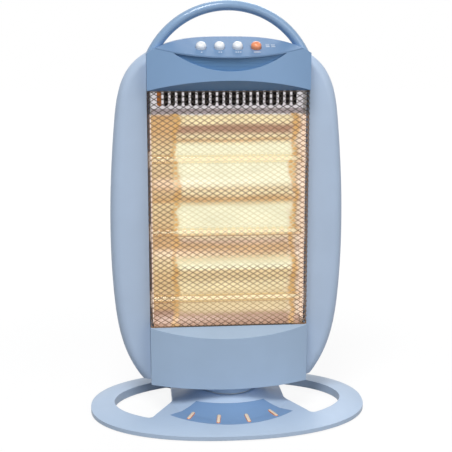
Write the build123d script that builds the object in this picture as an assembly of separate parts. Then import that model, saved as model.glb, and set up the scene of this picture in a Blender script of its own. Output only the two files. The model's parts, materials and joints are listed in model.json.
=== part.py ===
from build123d import *
import math
import os

os.makedirs("parts", exist_ok=True)

# Carbon heater on an oval swinging base. Millimetres, front towards -Y, Z up, floor at Z = 0.

# Shared thicknesses and clearances
WALL = 2.5              # moulded plastic wall
SHEET = 1.0             # pressed steel sheet
SEAM = 0.2              # gap between neighbouring covers that do not move
RUNNING = 0.05          # radial clearance of a shaft in its bearing
SLIDING = 0.3           # gap around and beside a piece that moves
SCREW_R = 1.6
SCREW_HEAD_R = 3.2
SCREW_HEAD_H = 1.8

# Base: an oval dished ring with a waisted web across it
BASE_HALF_W = 175.0
BASE_HALF_D = 114.0
FOOT_STAND = 1.5        # the feet hold the ring this far off the floor
RIM_H = 5.0
DISH_STEPS = [(0.0, 0.0), (11.0, 2.8), (26.0, 4.9), (45.0, 6.0)]   # inset, rise above the rim
OVAL_POWER = 2.2        # a little fuller than an ellipse, which would be 2
OVAL_POINTS = 32
RING_SIDE_W = 30.0      # width of the ring left and right of the openings
RING_END_W = 32.0
OPEN_Y = -3.0
OPEN_CORNER_R = 6.0
WEB_HALF_W = 71.5
WEB_FLARE_START_Y = -10.0
WEB_FLARE_END = (96.0, -57.0)
DOME_STEPS = [(80.0, -0.5), (66.0, 2.4), (51.0, 8.2), (38.0, 15.5)]   # radius, rise above the web
HUB_R = 30.0            # solid core of the dome
FOOT_R = 8.0
FOOT_INSET = (75.0, 37.5)
FOOT_POCKET = 1.5
SIDE_SCREW_INSET = 16.0
END_SCREW_X = 48.0
END_SCREW_INSET = (22.0, 18.0)      # front, back
BASE_SCREW_L = 5.0
POST_SCREW_BITE = 4.0
POST_SCREWS = 3

# Marker inlay on the base
INLAY_Y = 14.0          # centre of the inlay's two arcs
INLAY_R_IN = 62.0
INLAY_R_OUT = 103.5
INLAY_APEX_Y = -1.5     # where its two straight sides would meet
INLAY_HALF_ANGLE = 54.8
INLAY_T = 1.2
MARK_COUNT = 4
MARK_STEP = 22.6
MARK_R = 91.0
MARK_LEAN = 0.72        # share of a mark's place angle by which it is turned
MARK_L = 19.0
MARK_W = 4.2
MARK_RISE = 0.8

# Swivel: post on the base, neck under the body, gear sector and pinion between them
POST_R = 11.0
POST_BORE_R = 8.5
POST_FLANGE_R = 18.0
POST_FLANGE_T = 4.0
SLIP_T = 1.5
SLIP_R_IN = 12.0
SLIP_R_OUT = 33.0
NECK_R = 35.0
BOSS_R = 16.0
BOSS_TOP_Z = 46.0
GEAR_MODULE = 1.0
SECTOR_TEETH = 54       # teeth of the whole circle
SECTOR_TOOTHED = 16     # teeth that are cut, an even number so that a gap faces the pinion
PINION_TEETH = 18
GEAR_T = 5.0
BACKLASH = 0.16
COLLAR_R = 15.0
COLLAR_T = 3.0

# Body
BODY_BOTTOM_Z = 40.0
COL_HALF_W = 98.0
COL_SIDE_Y = -23.0
COL_BULGE = 25.0
SPLIT_Y = 18.0          # plane where the front parts meet the rear shell
WING_STATIONS = [(109.0, 40.0), (131.5, 84.0), (142.5, 148.0), (145.5, 235.0), (138.5, 363.0),
                 (120.0, 431.0), (98.0, 450.0)]
ARCH_STATIONS = [(98.0, 450.0), (76.0, 460.5), (0.0, 469.0)]
WING_FRONT_Y = -3.0
WING_ROUND = 12.0
REAR_STEPS = [(0.0, 1.0, 1.0), (26.0, 0.95, 0.97), (42.0, 0.78, 0.87)]   # depth, width and height share

# Rear shell: vents, screws and the inlet bush
VENT_ROWS = 9
VENT_PITCH = 10.0
VENT_W = 62.0
VENT_H = 3.6
VENT_Z = 300.0
VENT_X = (-36.0, 36.0)
CASE_SCREWS = [(70.0, 90.0), (82.0, 215.0), (66.0, 350.0)]
CASE_POST_L = 9.0
CASE_HEAD_SINK = 4.0
CASE_SCREW_L = 8.0
GLAND_Z = 66.0
GLAND_R = 6.5
GLAND_FLANGE_R = 9.5
GLAND_BORE_R = 3.5
GLAND_FLANGE_T = 2.5

# Hood and control panel
HOOD_BOTTOM_Z = 406.0
HOOD_EDGE_Z = 419.0     # lower front edge of the bulge
PANEL_EDGE_Z = 446.6
PANEL_TILT = 26.6
HOOD_FRONT_WALL = 10.0
SCOOP_TIP = (70.0, 453.0)
SCOOP_BOTTOM_Z = 429.5
SCOOP_DEPTH = 7.0
SCOOP_TOP_DEPTH = 1.5
SCOOP_LIP = 1.6
BUTTON_X = [-34.0, -12.3, 9.0, 31.0]
BUTTON_UP = 22.4        # distance up the slope of the panel
BUTTON_R = 6.2
BUTTON_H = 6.5
BUTTON_SKIRT = 4.2
BUTTON_FLANGE_R = 7.8
BUTTON_FLANGE_T = 1.2
BUTTON_STEM_R = 2.2
BUTTON_TRAVEL = 3.0
SWITCH_H = 14.0
SWITCH_D = 15.0
SWITCH_HALF_L = 46.0
SWITCH_EAR_T = 2.0
SWITCH_EAR_HALF = 5.0
SWITCH_POST_R = 4.0
SWITCH_SCREW_X = 52.0
SWITCH_SCREW_L = 7.0
STEM_REACH = 5.0        # how far a button's stem stands in the switch bank at rest
PRINT_T = 0.25
PRINT_UP = 11.0
PIP = 1.5
PIP_PITCH = 2.6
DASH = (4.6, 1.2)
DASH_X = (45.0, 51.6)
DASH_UP = (24.0, 28.0)

# Handle
HANDLE_R = 103.0
HANDLE_TOP_Z = 505.5
HANDLE_HALF_T = 6.2
HANDLE_HALF_D = 7.5
HANDLE_Y = -6.0
HANDLE_END_Z = 444.0

# Lower cover and body floor
COVER_TOP_Z = 114.0
COVER_EDGE_Z = 105.5
FLOOR_BACK_Y = 46.0
FLOOR_REAR_HALF = 80.0

# Guard: coarse diamond lattice standing in for the fine expanded mesh
GUARD_COLS = 6
GUARD_ROWS = 14
GUARD_T = 1.0
GUARD_STRAND = 1.6
GUARD_BORDER = 2.4
GUARD_RETURN = 19.0

# Reflector and heating tubes
PLATE_X = 93.5
PLATE_FRONT_Y = -12.8
PLATE_BACK_Y = 34.0
PLATE_TOP_Z = 425.0
REFLECTOR_T = 1.2
RIDGES_Z = [100.0, 185.0, 272.0, 369.0]
TROUGH_DEPTH = 24.0
LIP_TOP_Z = 376.0
LIP_Y = 6.0
STRIP_TOP_Z = 422.0
SLOT_COUNT = 21
SLOT_PITCH = 8.3
SLOT_W = 5.5
SLOT_LOW_Z = 385.8
SLOT_HIGH_Z = 412.0
SHIELD_Y = 30.0
TUBE_Y = 10.0
TUBE_R = 6.0
TUBE_BORE_R = 5.0
TUBE_Z = [142.0, 228.0, 320.0]
TUBE_HALF_L = 101.0
CAP_X = 94.5
CAP_L = 14.0
CAP_HALF = 9.0
GLOW_FROM = -64.0
GLOW_TO = 89.0
FILAMENT_W = 4.0
FILAMENT_T = 1.2
LEAD_R = 0.9

# Small inner parts
MOTOR_R = 25.0
MOTOR_H = 15.0
MOTOR_Z = 57.0
SHAFT_R = 2.5
MOTOR_EAR_Y = 30.0
MOTOR_EAR_HALF = 5.0
MOTOR_POST_R = 4.0
MOTOR_SCREW_L = 8.0
WIRE_R = 1.4
WIRE_BEND_R = 6.0
WIRE_TURN_Z = 84.0
TERMINAL_HALF_L = 18.0
TERMINAL_HALF = (5.0, 7.0)      # depth, height
TERMINAL_STAND_T = 3.0
CUTOUT_R = 8.0
CUTOUT_H = 6.0
CUTOUT_EAR = (14.0, 4.0)        # half length, half height

# Tip-over switch: a pendulum in an open case on the body floor
TIP_X = 62.0
TIP_Y = -6.0
TIP_W = 16.0
TIP_D = 30.0
TIP_H = 36.0
TIP_PIN_R = 1.5
TIP_EYE_R = 3.0
TIP_PIN_DROP = 6.0
TIP_CHEEK = 2.0
TIP_ARM_L = 17.0
TIP_ARM_HALF_W = 2.0
TIP_BOB_R = 5.0
TIP_BOB_HALF_W = 4.0

# Values that follow from the ones above
RIM_TOP_Z = FOOT_STAND + RIM_H
DISH_TOP_Z = RIM_TOP_Z + DISH_STEPS[-1][1]
HUB_TOP_Z = DISH_TOP_Z + DOME_STEPS[-1][1]
POST_SEAT_Z = DISH_TOP_Z - WALL
NECK_BOTTOM_Z = HUB_TOP_Z + SLIP_T
FLOOR_Z = BODY_BOTTOM_Z + WALL
FLOOR_TOP_Z = FLOOR_Z + WALL
GEAR_Z = BOSS_TOP_Z + SLIDING
SECTOR_R = GEAR_MODULE * SECTOR_TEETH / 2
PINION_R = GEAR_MODULE * PINION_TEETH / 2
MOTOR_X = -(SECTOR_R + PINION_R)
COLLAR_Z = GEAR_Z + GEAR_T
COL_FRONT_Y = COL_SIDE_Y - COL_BULGE
PLATE_OUT_X = PLATE_X + SHEET
PANEL = Plane(origin=(0, COL_FRONT_Y, PANEL_EDGE_Z), x_dir=(1, 0, 0),
              z_dir=(0, -math.sin(math.radians(PANEL_TILT)), math.cos(math.radians(PANEL_TILT))))
BACK_Y = SPLIT_Y + REAR_STEPS[-1][0]
WIDE = 400.0            # larger than the body, for cutting blocks
TUBE_NAMES = ["bottom", "middle", "top"]
BUTTON_NAMES = ["low", "medium", "high", "swing"]


def save(shape, name):
    export_step(shape, f"parts/{name}.step")


def block(x0, x1, y0, y1, z0, z1):
    return Pos((x0 + x1) / 2, (y0 + y1) / 2, (z0 + z1) / 2) * Box(x1 - x0, y1 - y0, z1 - z0)


def rod(radius, z0, z1, x=0.0, y=0.0):
    return Pos(x, y, (z0 + z1) / 2) * Cylinder(radius, z1 - z0)


def rod_y(radius, y0, y1, x, z):
    return Pos(x, (y0 + y1) / 2, z) * Rot(90, 0, 0) * Cylinder(radius, y1 - y0)


def rod_x(radius, x0, x1, y, z):
    return Pos((x0 + x1) / 2, y, z) * Rot(0, 90, 0) * Cylinder(radius, x1 - x0)


def slab(face, z0, z1):
    return Pos(0, 0, z0) * extrude(face, z1 - z0)


def mirrored(points):
    return [(-x, z) for x, z in points]


# Base

def oval(half_w, half_d):
    """The outline of the base, a superellipse."""
    points = []
    for step in range(OVAL_POINTS):
        turn = 2 * math.pi * step / OVAL_POINTS
        across, along = math.cos(turn), math.sin(turn)
        points.append((math.copysign(half_w * abs(across) ** (2 / OVAL_POWER), across),
                       math.copysign(half_d * abs(along) ** (2 / OVAL_POWER), along)))
    return make_face(Spline(*points, periodic=True))


def dish(inset, drop):
    """The oval body of the ring; inset and drop give the inner surface of its shell."""
    half_w = BASE_HALF_W - inset
    half_d = BASE_HALF_D - inset
    rim = slab(oval(half_w, half_d), FOOT_STAND, RIM_TOP_Z - drop)
    rings = [Pos(0, 0, RIM_TOP_Z - drop + rise) * oval(half_w - step, half_d - step)
             for step, rise in DISH_STEPS]
    dome = loft([Pos(0, 0, DISH_TOP_Z - drop + rise) * Circle(radius - inset) for radius, rise in DOME_STEPS])
    return rim + loft(rings) + dome


def ring_openings(grow):
    """The two D openings, grown by a wall where the hollow underside is cut."""
    hole = Pos(0, OPEN_Y) * Ellipse(BASE_HALF_W - RING_SIDE_W + grow, BASE_HALF_D - RING_END_W + grow)
    half = WEB_HALF_W - grow
    flare_x, flare_y = WEB_FLARE_END
    slope = (flare_x - WEB_HALF_W) / (flare_y - WEB_FLARE_START_Y)
    end_y = -BASE_HALF_D
    end_x = half + slope * (end_y - WEB_FLARE_START_Y)
    side = [(half, BASE_HALF_D), (half, WEB_FLARE_START_Y), (end_x, end_y)]
    web = make_face(Polyline(*side, *reversed(mirrored(side)), close=True))
    openings = hole - web
    return fillet(openings.vertices(), OPEN_CORNER_R)


def inlay_sector(shrink):
    arc = Pos(0, INLAY_Y) * (Circle(INLAY_R_OUT - shrink) - Circle(INLAY_R_IN + shrink))
    reach = INLAY_R_OUT * 2
    half = math.radians(INLAY_HALF_ANGLE)
    tip_y = INLAY_APEX_Y - shrink / math.sin(half)
    edge_x = reach * math.sin(half)
    edge_y = tip_y - reach * math.cos(half)
    wedge = make_face(Polyline((0, tip_y), (edge_x, edge_y), (-edge_x, edge_y), close=True))
    return arc & wedge


def base_screw_places():
    front, back = END_SCREW_INSET
    places = [(BASE_HALF_W - SIDE_SCREW_INSET, 0.0), (END_SCREW_X, front - BASE_HALF_D),
              (END_SCREW_X, BASE_HALF_D - back)]
    return [(side * x, y) for x, y in places for side in (-1, 1)]


def foot_places():
    x, y = BASE_HALF_W - FOOT_INSET[0], BASE_HALF_D - FOOT_INSET[1]
    return [(i * x, j * y) for i in (-1, 1) for j in (-1, 1)]


def base_ring():
    outer = dish(0.0, 0.0)
    inside = dish(WALL, WALL) - slab(ring_openings(WALL), 0, HUB_TOP_Z)
    hub = rod(HUB_R, POST_SEAT_Z, HUB_TOP_Z)
    posts = [rod(2.5 * SCREW_R, FOOT_STAND + WALL, DISH_TOP_Z, x, y) & outer for x, y in base_screw_places()]
    ring = outer - inside - slab(ring_openings(0.0), 0, HUB_TOP_Z + 1)
    ring += [hub, *posts]
    recess = slab(inlay_sector(0.0), FOOT_STAND, HUB_TOP_Z + 1) - Pos(0, 0, -INLAY_T) * dish(0.0, 0.0)
    ring -= recess
    ring -= rod(POST_R, 0, HUB_TOP_Z + 1)
    for x, y in base_screw_places():
        ring -= rod(SCREW_R, 0, DISH_TOP_Z - 2 * WALL, x, y)
    for angle in post_screw_angles():
        x, y = post_screw_place(angle)
        ring -= rod(SCREW_R, 0, DISH_TOP_Z + WALL, x, y)
    return ring


def post_screw_angles():
    return [360 * index / POST_SCREWS for index in range(POST_SCREWS)]


def post_screw_place(angle):
    radius = (POST_FLANGE_R + POST_R) / 2
    return radius * math.cos(math.radians(angle)), radius * math.sin(math.radians(angle))


def base_inlay():
    skin = dish(0.0, 0.0) - Pos(0, 0, -INLAY_T) * dish(0.0, 0.0)
    return skin & slab(inlay_sector(SEAM / 2), FOOT_STAND, HUB_TOP_Z + 1)


def position_marks():
    skin = Pos(0, 0, MARK_RISE) * dish(0.0, 0.0) - dish(0.0, 0.0)
    marks = []
    for index in range(MARK_COUNT):
        angle = (index - (MARK_COUNT - 1) / 2) * MARK_STEP
        place = Pos(0, INLAY_Y) * Rot(0, 0, angle) * Pos(0, -MARK_R) * Rot(0, 0, (MARK_LEAN - 1) * angle)
        bar = place * SlotOverall(MARK_L, MARK_W, rotation=90)
        marks.append(skin & slab(bar, FOOT_STAND, HUB_TOP_Z + 2))
    return Compound(children=marks)


def base_plate():
    outline = oval(BASE_HALF_W - WALL - SEAM, BASE_HALF_D - WALL - SEAM) - ring_openings(WALL + SEAM)
    plate = slab(outline, FOOT_STAND, FOOT_STAND + WALL)
    for x, y in foot_places():
        plate -= rod(FOOT_R, 0, FOOT_STAND + FOOT_POCKET, x, y)
    for x, y in base_screw_places():
        plate -= rod(SCREW_R, 0, FOOT_STAND + WALL, x, y)
        plate -= rod(SCREW_HEAD_R, 0, FOOT_STAND + SCREW_HEAD_H, x, y)
    return plate


def rubber_feet():
    return Compound(children=[rod(FOOT_R, 0, FOOT_STAND + FOOT_POCKET, x, y) for x, y in foot_places()])


def screw(length):
    """A pan-head screw pointing up, its head's outer face at the origin."""
    head = Pos(0, 0, SCREW_HEAD_H / 2) * Cylinder(SCREW_HEAD_R, SCREW_HEAD_H)
    return head + rod(SCREW_R, SCREW_HEAD_H, length)


def base_screws():
    long_screws = [Pos(x, y, FOOT_STAND) * screw(BASE_SCREW_L) for x, y in base_screw_places()]
    start = POST_SEAT_Z - POST_FLANGE_T - SCREW_HEAD_H
    for angle in post_screw_angles():
        x, y = post_screw_place(angle)
        long_screws.append(Pos(x, y, start) * screw(SCREW_HEAD_H + POST_FLANGE_T + POST_SCREW_BITE))
    return Compound(children=long_screws)


def pivot_post():
    post = rod(POST_R, POST_SEAT_Z - POST_FLANGE_T, COLLAR_Z + COLLAR_T)
    post += rod(POST_FLANGE_R, POST_SEAT_Z - POST_FLANGE_T, POST_SEAT_Z)
    post -= rod(POST_BORE_R, 0, COLLAR_Z + COLLAR_T)
    for angle in post_screw_angles():
        x, y = post_screw_place(angle)
        post -= rod(SCREW_R, 0, POST_SEAT_Z, x, y)
    return post


def slip_ring():
    return rod(SLIP_R_OUT, HUB_TOP_Z, NECK_BOTTOM_Z) - rod(SLIP_R_IN, HUB_TOP_Z, NECK_BOTTOM_Z)


# Gears

def involute_gear(teeth, toothed, tooth_at):
    """A spur gear face; tooth_at is the angle of the middle of the toothed stretch."""
    pitch_r = GEAR_MODULE * teeth / 2
    base_r = pitch_r * math.cos(math.radians(20))
    tip_r = pitch_r + GEAR_MODULE
    root_r = pitch_r - 1.25 * GEAR_MODULE
    half_tooth = math.pi / (2 * teeth) - BACKLASH / (2 * pitch_r)
    at_pitch = math.tan(math.radians(20)) - math.radians(20)
    flank = []
    for step in range(5):
        radius = max(base_r, root_r) + (tip_r - max(base_r, root_r)) * step / 4
        slope = math.acos(base_r / radius)
        flank.append((radius, half_tooth + at_pitch - (math.tan(slope) - slope)))
    if root_r < base_r:
        flank.insert(0, (root_r, flank[0][1]))
    tooth = [(r, -a) for r, a in flank] + [(r, a) for r, a in reversed(flank)]
    points = []
    for index in range(toothed):
        centre = tooth_at + (index - (toothed - 1) / 2) * 2 * math.pi / teeth
        points += [(r * math.cos(centre + a), r * math.sin(centre + a)) for r, a in tooth]
    if toothed < teeth:
        points.append((0, 0))
    return make_face(Polyline(*points, close=True))


def sector_gear():
    face = involute_gear(SECTOR_TEETH, SECTOR_TOOTHED, math.pi) + Circle(COLLAR_R)
    return slab(face, GEAR_Z, COLLAR_Z) - rod(POST_R, GEAR_Z, COLLAR_Z)


def retaining_collar():
    return rod(COLLAR_R, COLLAR_Z, COLLAR_Z + COLLAR_T) - rod(POST_R, COLLAR_Z, COLLAR_Z + COLLAR_T)


def drive_pinion():
    gear = slab(involute_gear(PINION_TEETH, PINION_TEETH, math.pi / PINION_TEETH), GEAR_Z, COLLAR_Z)
    shaft = rod(SHAFT_R, COLLAR_Z, MOTOR_Z + MOTOR_H / 2)
    return Pos(MOTOR_X, 0, 0) * (gear + shaft)


def swing_motor():
    can = rod(MOTOR_R, MOTOR_Z, MOTOR_Z + MOTOR_H)
    can = fillet(can.edges().sort_by(Axis.Z)[-1], 2.0)
    reach = MOTOR_EAR_Y + MOTOR_EAR_HALF
    ears = block(-MOTOR_EAR_HALF, MOTOR_EAR_HALF, -reach, reach, MOTOR_Z, MOTOR_Z + SHEET)
    motor = can + ears - rod(SHAFT_R + RUNNING, MOTOR_Z, MOTOR_Z + MOTOR_H / 2 + SLIDING)
    for side in (-1, 1):
        motor -= rod(SCREW_R, MOTOR_Z, MOTOR_Z + SHEET, 0, side * MOTOR_EAR_Y)
    return Pos(MOTOR_X, 0, 0) * motor


# Body outlines

def column_plan(inset, front_inset, back_y):
    """Plan of the middle column: straight sides, bulged front."""
    half = COL_HALF_W - inset
    side_y = COL_SIDE_Y + front_inset
    front_y = COL_FRONT_Y + front_inset
    front = ThreePointArc((-half, side_y), (0, front_y), (half, side_y))
    rest = Polyline((half, side_y), (half, back_y), (-half, back_y), (-half, side_y))
    return make_face(front + rest)


def front_view(face_xz, y0, y1):
    """Extrudes a sketch drawn in X and Z from y0 to y1."""
    plane = Plane(origin=(0, y1, 0), x_dir=(1, 0, 0), z_dir=(0, -1, 0))
    return extrude(plane * face_xz, y1 - y0)


def arch_face(inset):
    """Everything under the arched top of the column, as seen from the front."""
    right = [(x - inset * (x > 0), z - inset) for x, z in ARCH_STATIONS]
    top = Spline(*right, *reversed(mirrored(right[:-1])))
    x_end, z_end = right[0]
    low = BODY_BOTTOM_Z
    rest = Polyline((-x_end, z_end), (-x_end, low), (x_end, low), (x_end, z_end))
    return make_face(top + rest)


def body_outline(width, height, inset):
    """The barrel outline of the whole body, scaled for one section of the rear shell."""
    def place(x, z, dx, dz):
        return x * width - dx, BODY_BOTTOM_Z + (z - BODY_BOTTOM_Z) * height - dz

    low_x, low_z = WING_STATIONS[0]
    side = [place(low_x, low_z, inset, -inset)]
    side += [place(x, z, inset, 0) for x, z in WING_STATIONS[1:-1]]
    side += [place(*WING_STATIONS[-1], inset, inset)]
    arch = [place(x, z, inset * (x > 0), inset) for x, z in ARCH_STATIONS]
    edges = Line(mirrored(side)[0], side[0]) + Spline(*side)
    edges += Spline(*arch, *reversed(mirrored(arch[:-1])))
    edges += Spline(*reversed(mirrored(side)))
    return make_face(edges)


def rear_solid(inset, start_y, end_trim):
    depth = REAR_STEPS[-1][0]
    faces = []
    for at, width, height in REAR_STEPS:
        y = SPLIT_Y + at * (depth - end_trim) / depth
        plane = Plane(origin=(0, y, 0), x_dir=(1, 0, 0), z_dir=(0, -1, 0))
        faces.append(plane * body_outline(width, height, inset))
    solid = loft(faces)
    if start_y < SPLIT_Y:
        solid += front_view(body_outline(1.0, 1.0, inset), start_y, SPLIT_Y)
    return solid


def case_screw_places():
    return [(side * x, z) for x, z in CASE_SCREWS for side in (-1, 1)]


def rear_shell():
    shell = rear_solid(0.0, SPLIT_Y, 0.0) - rear_solid(WALL, SPLIT_Y - 1, WALL)
    vent = SlotOverall(VENT_W, VENT_H)
    rows = [Pos(x, VENT_Z + row * VENT_PITCH) * vent for x in VENT_X for row in range(VENT_ROWS)]
    shell -= [front_view(slot, BACK_Y - 2 * WALL, BACK_Y + 1) for slot in rows]
    for x, z in case_screw_places():
        shell += rod_y(2 * SCREW_HEAD_R, BACK_Y - CASE_POST_L, BACK_Y, x, z)
        shell -= rod_y(SCREW_R, BACK_Y - CASE_POST_L, BACK_Y, x, z)
        shell -= rod_y(SCREW_HEAD_R, BACK_Y - CASE_HEAD_SINK, BACK_Y, x, z)
    shell -= rod_y(GLAND_R, BACK_Y - 2 * WALL, BACK_Y, 0, GLAND_Z)
    shell -= rod(NECK_R + SLIDING, BODY_BOTTOM_Z - 1, FLOOR_Z + SEAM)
    return shell


def case_screws():
    screws = []
    for x, z in case_screw_places():
        seat = Pos(x, BACK_Y - CASE_HEAD_SINK + SCREW_HEAD_H, z) * Rot(90, 0, 0)
        screws.append(seat * screw(SCREW_HEAD_H + CASE_SCREW_L))
    return Compound(children=screws)


def cord_gland():
    gland = rod_y(GLAND_FLANGE_R, BACK_Y, BACK_Y + GLAND_FLANGE_T, 0, GLAND_Z)
    gland += rod_y(GLAND_R, BACK_Y - WALL, BACK_Y, 0, GLAND_Z)
    gland += rod_y(GLAND_FLANGE_R, BACK_Y - WALL - GLAND_FLANGE_T, BACK_Y - WALL, 0, GLAND_Z)
    return gland - rod_y(GLAND_BORE_R, BACK_Y - 4 * WALL, BACK_Y + GLAND_FLANGE_T, 0, GLAND_Z)


def side_face(inset):
    side = [(x - inset, z) for x, z in WING_STATIONS]
    side[0] = (side[0][0], side[0][1] + inset)
    side[-1] = (COL_HALF_W + SEAM, WING_STATIONS[-1][1] - inset)
    inner = COL_HALF_W + SEAM - 2 * inset
    corners = [side[-1], (inner, side[-1][1]), (inner, side[0][1]), side[0]]
    if inset == 0:
        corners.pop(1)
    return make_face(Spline(*side) + Polyline(*corners))


def side_panel():
    """The right-hand wing; its back and inner side are open."""
    outer = front_view(side_face(0.0), WING_FRONT_Y, SPLIT_Y)
    outer = round_front(outer, WING_FRONT_Y, WING_ROUND)
    inner = front_view(side_face(WALL), WING_FRONT_Y + WALL, SPLIT_Y + 1)
    inner = round_front(inner, WING_FRONT_Y + WALL, WING_ROUND - WALL)
    return outer - inner


def round_front(solid, y, radius):
    front = solid.edges().filter_by(lambda edge: abs(edge.bounding_box().max.Y - y) < 0.01)
    curve = front.sort_by(SortBy.LENGTH)[-1:] if front else front
    long_edges = [edge for edge in front if edge.geom_type == GeomType.BSPLINE]
    return fillet(long_edges or curve, radius)


# Hood, lower cover and handle

def above_panel(drop):
    return PANEL * Pos(0, 0, WIDE / 2 - drop) * Box(WIDE, WIDE, WIDE)


def under_slope(z_side, z_front, shift, y_limit):
    """A wedge that trims the sloping face between the guard line and the bulge."""
    rise = z_front - z_side
    far = 3 * COL_BULGE
    far_z = z_side + rise * (far / COL_BULGE)
    sign = 1 if rise > 0 else -1
    profile = [(y_limit, z_side + shift * sign - rise * (y_limit - COL_SIDE_Y) / COL_BULGE),
               (COL_SIDE_Y - far, far_z + shift * sign),
               (COL_SIDE_Y - far, z_side - sign * WIDE),
               (y_limit, z_side - sign * WIDE)]
    plane = Plane(origin=(-WIDE / 2, 0, 0), x_dir=(0, 1, 0), z_dir=(1, 0, 0))
    return extrude(plane * make_face(Polyline(*profile, close=True)), WIDE)


def hood_block():
    solid = slab(column_plan(0.0, 0.0, SPLIT_Y), HOOD_BOTTOM_Z, WIDE + HOOD_BOTTOM_Z) & front_view(arch_face(0.0), -WIDE / 2, WIDE / 2)
    return solid - above_panel(0.0) - under_slope(HOOD_BOTTOM_Z, HOOD_EDGE_Z, 0.0, COL_SIDE_Y)


def hood_hollow():
    plan = column_plan(WALL, HOOD_FRONT_WALL, SPLIT_Y + 1)
    solid = slab(plan, HOOD_BOTTOM_Z - 2 * WALL, WIDE + HOOD_BOTTOM_Z) & front_view(arch_face(WALL), -WIDE / 2, WIDE / 2)
    return solid - above_panel(WALL) - under_slope(HOOD_BOTTOM_Z, HOOD_EDGE_Z, WALL, COL_SIDE_Y + WALL)


def scoop():
    """The crescent under the control panel's lip, deepest at its lower edge."""
    tip_x, tip_z = SCOOP_TIP
    low = ThreePointArc((-tip_x, tip_z), (0, SCOOP_BOTTOM_Z), (tip_x, tip_z))
    crescent = front_view(make_face(low + Line((tip_x, tip_z), (-tip_x, tip_z))), COL_FRONT_Y - 5, COL_SIDE_Y)
    core = loft([Pos(0, 0, SCOOP_BOTTOM_Z - 1) * column_plan(0.0, SCOOP_DEPTH, SPLIT_Y),
                 Pos(0, 0, tip_z + 1) * column_plan(0.0, SCOOP_TOP_DEPTH, SPLIT_Y)], ruled=True)
    return crescent - core - above_panel(SCOOP_LIP)


def hood():
    solid = hood_block() - hood_hollow() - scoop()
    for x in BUTTON_X:
        solid -= PANEL * rod(BUTTON_R + SLIDING, -2 * WALL, 1, x, BUTTON_UP)
    for side in (-1, 1):
        solid += PANEL * rod(SWITCH_POST_R, -switch_drop(), -WALL / 2, side * SWITCH_SCREW_X, BUTTON_UP)
        solid -= PANEL * rod(SCREW_R, -switch_drop(), -WALL, side * SWITCH_SCREW_X, BUTTON_UP)
    return solid


def switch_drop():
    """Depth of the switch bank's top below the panel's outer face."""
    return WALL + BUTTON_FLANGE_T + BUTTON_TRAVEL + SLIDING


def switch_bank():
    top = -switch_drop()
    centre = (BUTTON_X[0] + BUTTON_X[-1]) / 2
    body = block(centre - SWITCH_HALF_L, centre + SWITCH_HALF_L, BUTTON_UP - SWITCH_D / 2,
                 BUTTON_UP + SWITCH_D / 2, top - SWITCH_H, top)
    reach = SWITCH_SCREW_X + SWITCH_EAR_HALF
    ears = block(-reach, reach, BUTTON_UP - SWITCH_EAR_HALF, BUTTON_UP + SWITCH_EAR_HALF, top - SWITCH_EAR_T, top)
    bank = body + ears
    for x in BUTTON_X:
        bank -= rod(BUTTON_STEM_R + SLIDING, top - BUTTON_TRAVEL - STEM_REACH - 1, top, x, BUTTON_UP)
    for side in (-1, 1):
        bank -= rod(SCREW_R, top - SWITCH_EAR_T, top, side * SWITCH_SCREW_X, BUTTON_UP)
    return PANEL * bank


def switch_screws():
    top = -switch_drop()
    screws = [Pos(side * SWITCH_SCREW_X, BUTTON_UP, top - SWITCH_EAR_T - SCREW_HEAD_H) * screw(SWITCH_SCREW_L)
              for side in (-1, 1)]
    return PANEL * Compound(children=screws)


def button(x):
    body = rod(BUTTON_R, -WALL, BUTTON_H, 0, 0)
    body = fillet(body.edges().sort_by(Axis.Z)[-1], BUTTON_SKIRT)
    body += rod(BUTTON_FLANGE_R, -WALL - BUTTON_FLANGE_T, -WALL)
    body += rod(BUTTON_STEM_R, -switch_drop() - STEM_REACH, -WALL - BUTTON_FLANGE_T)
    return PANEL * Pos(x, BUTTON_UP, 0) * body


def panel_print():
    """Counting pips under the three heat buttons, a bar under the swing button, four small dashes."""
    marks = []
    for count, x in enumerate(BUTTON_X[:-1], start=1):
        for step in range(count):
            marks.append(Pos(x + (step - (count - 1) / 2) * PIP_PITCH, PRINT_UP) * Rectangle(PIP, PIP))
    marks.append(Pos(BUTTON_X[-1], PRINT_UP) * Rectangle(3 * PIP_PITCH, PIP))
    marks += [Pos(x, up) * Rectangle(*DASH) for x in DASH_X for up in DASH_UP]
    return Compound(children=[PANEL * extrude(mark, PRINT_T) for mark in marks])


def handle():
    centre_z = HANDLE_TOP_Z - HANDLE_R
    end_z = HANDLE_END_Z - 6
    end_x = math.sqrt(HANDLE_R ** 2 - (end_z - centre_z) ** 2)
    plane = Plane(origin=(0, HANDLE_Y, 0), x_dir=(1, 0, 0), z_dir=(0, -1, 0))
    path = plane * ThreePointArc((-end_x, end_z), (0, HANDLE_TOP_Z), (end_x, end_z))
    section = Plane(origin=path @ 0, x_dir=(0, 1, 0), z_dir=path % 0) * Ellipse(HANDLE_HALF_D, HANDLE_HALF_T)
    grip = sweep(section, path=path)
    grip = grip & block(-COL_HALF_W, COL_HALF_W, -WIDE / 2, WIDE / 2, HANDLE_END_Z, HANDLE_END_Z + WIDE)
    seat = slab(column_plan(0.0, 0.0, SPLIT_Y), HOOD_BOTTOM_Z, WIDE + HOOD_BOTTOM_Z) & front_view(arch_face(0.0), -WIDE / 2, WIDE / 2)
    return grip - seat


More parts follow.
